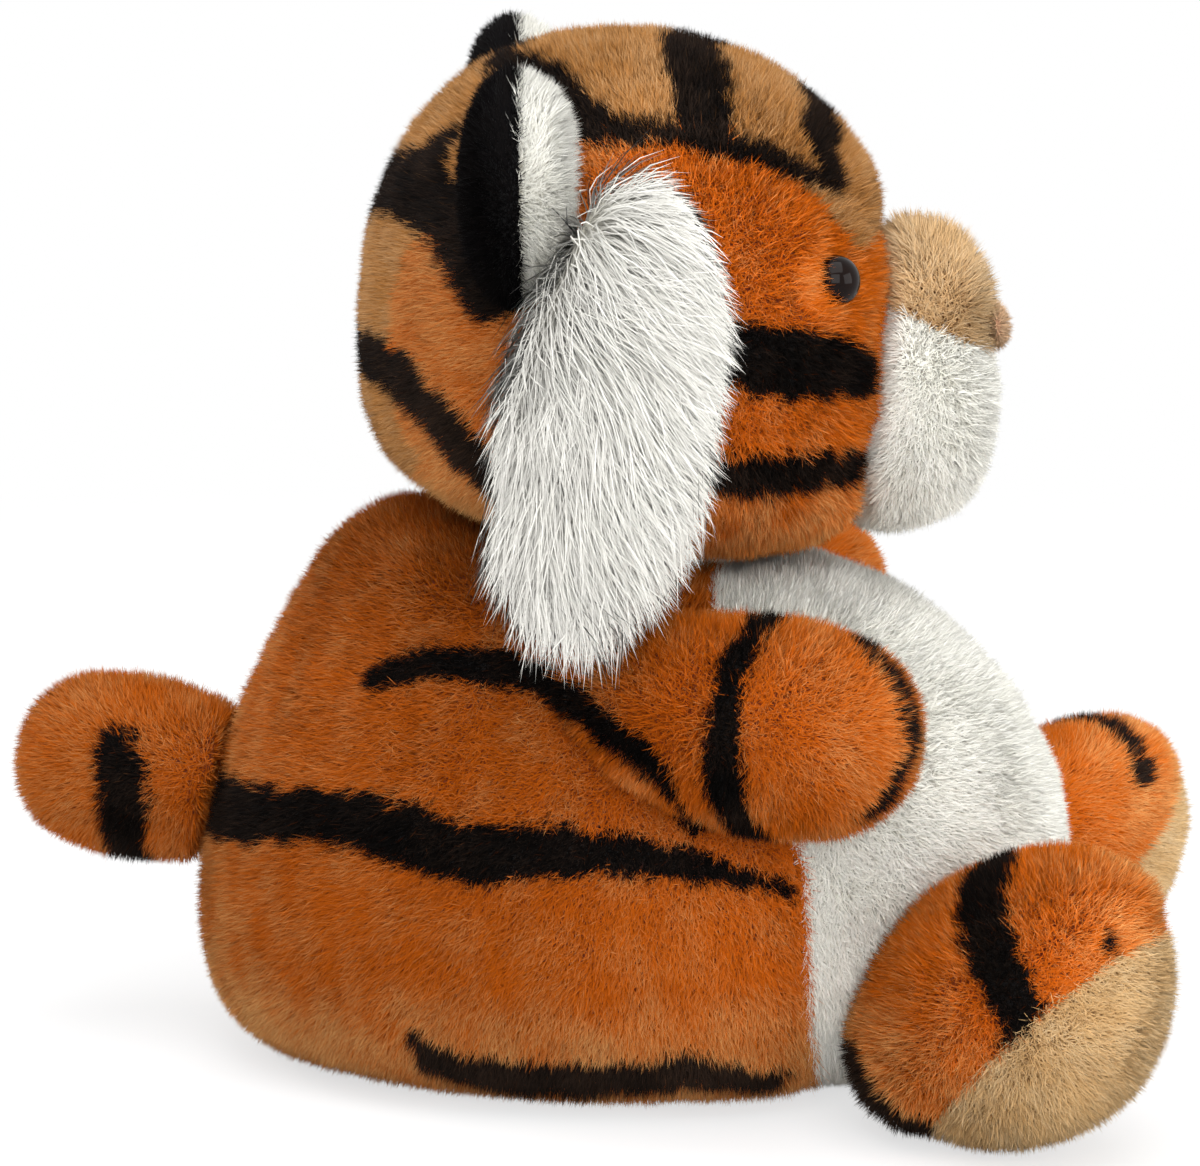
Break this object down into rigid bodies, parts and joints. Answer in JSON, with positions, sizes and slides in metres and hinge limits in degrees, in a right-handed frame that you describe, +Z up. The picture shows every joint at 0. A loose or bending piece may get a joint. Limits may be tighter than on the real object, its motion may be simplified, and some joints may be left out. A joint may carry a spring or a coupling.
{
  "type": "sitting plush tiger",
  "caption": "Sitting plush tiger with a swelling body, round head, short muzzle, upright ears, cheek tufts, stub limbs and tail; sewn covers over fibre stuffing.",
  "frame": {"origin": "middle of the flat seat, on the floor, under the neck", "axes": "+Z up, -Y the way the tiger faces, +X its left side"},
  "size_m": [0.1203, 0.1447, 0.1264],
  "materials": {
    "rust_plush": "short deep pile",
    "tan_plush": "short deep pile",
    "white_plush": "short pile",
    "black_plush": "short pile",
    "cream_plush": "short pile",
    "long_pile": "long loose pile",
    "pink_cloth": "smooth",
    "fibre_fill": "loose fibre",
    "pouch_cloth": "plain weave",
    "eye_plastic": "polished",
    "washer_plastic": "moulded"
  },
  "bodies": {
    "body": {"back_panel_left": "rust_plush", "back_panel_right": "rust_plush", "belly_panel": "white_plush", "seat_panel": "rust_plush", "body_stuffing": "fibre_fill", "bean_pouch": "pouch_cloth"},
    "neck": {"neck_stuffing": "fibre_fill"},
    "head": {"head_side_left": "rust_plush", "head_side_right": "rust_plush", "crown_gusset": "tan_plush", "head_stuffing": "fibre_fill", "muzzle_cover": "white_plush", "nose_bridge": "tan_plush", "muzzle_stuffing": "fibre_fill", "nose": "pink_cloth", "eye_left": "eye_plastic", "eye_right": "eye_plastic", "eye_washer_left": "washer_plastic", "eye_washer_right": "washer_plastic", "cheek_tuft_left": "long_pile", "cheek_tuft_right": "long_pile"},
    "ear_left": {"ear_back_left": "black_plush", "ear_lining_left": "white_plush"},
    "ear_right": {"ear_back_right": "black_plush", "ear_lining_right": "white_plush"},
    "arm_left": {"arm_cover_left": "rust_plush", "arm_stuffing_left": "fibre_fill"},
    "arm_right": {"arm_cover_right": "rust_plush", "arm_stuffing_right": "fibre_fill"},
    "foot_left": {"foot_cover_left": "rust_plush", "foot_sole_left": "cream_plush", "foot_stuffing_left": "fibre_fill"},
    "foot_right": {"foot_cover_right": "rust_plush", "foot_sole_right": "cream_plush", "foot_stuffing_right": "fibre_fill"},
    "tail": {"tail_cover": "rust_plush", "tail_stuffing": "fibre_fill"}
  },
  "joints": [
    {"name": "head_turn", "type": "hinge", "parent": "body", "child": "neck", "pos_m": [0, 0.001, 0.06601], "axis": [0, -0.1736, 0.9848], "range_deg": [-28, 12], "stiffness_Nm_per_rad": 0.3},
    {"name": "head_nod", "type": "hinge", "parent": "neck", "child": "head", "pos_m": [0, 0.001, 0.06601], "axis": [0.9903, 0.1371, 0.0242], "range_deg": [-6, 6], "stiffness_Nm_per_rad": 0.6},
    {"name": "ear_left_fold", "type": "hinge", "parent": "head", "child": "ear_left", "pos_m": [0.02325, 0.02354, 0.10903], "axis": [-0.6153, -0.0838, 0.7839], "range_deg": [0, 20], "stiffness_Nm_per_rad": 0.005},
    {"name": "ear_right_fold", "type": "hinge", "parent": "head", "child": "ear_right", "pos_m": [-0.03052, 0.01609, 0.10772], "axis": [-0.5767, -0.0812, -0.8129], "range_deg": [0, 20], "stiffness_Nm_per_rad": 0.005},
    {"name": "arm_left_swing", "type": "hinge", "parent": "body", "child": "arm_left", "pos_m": [0.03784, 0.01128, 0.04998], "axis": [0, 0, 1], "range_deg": [0, 30], "stiffness_Nm_per_rad": 0.02},
    {"name": "arm_right_swing", "type": "hinge", "parent": "body", "child": "arm_right", "pos_m": [-0.03784, 0.01128, 0.04998], "axis": [0, 0, -1], "range_deg": [0, 30], "stiffness_Nm_per_rad": 0.02},
    {"name": "foot_left_lift", "type": "hinge", "parent": "body", "child": "foot_left", "pos_m": [0.0301, -0.04512, 0.0315], "axis": [-1, 0, 0], "range_deg": [0, 20], "stiffness_Nm_per_rad": 0.02},
    {"name": "foot_right_lift", "type": "hinge", "parent": "body", "child": "foot_right", "pos_m": [-0.0301, -0.04512, 0.0315], "axis": [-1, 0, 0], "range_deg": [0, 20], "stiffness_Nm_per_rad": 0.02},
    {"name": "tail_lift", "type": "hinge", "parent": "body", "child": "tail", "pos_m": [0, 0.05076, 0.0448], "axis": [1, 0, 0], "range_deg": [0, 25], "stiffness_Nm_per_rad": 0.02}
  ]
}
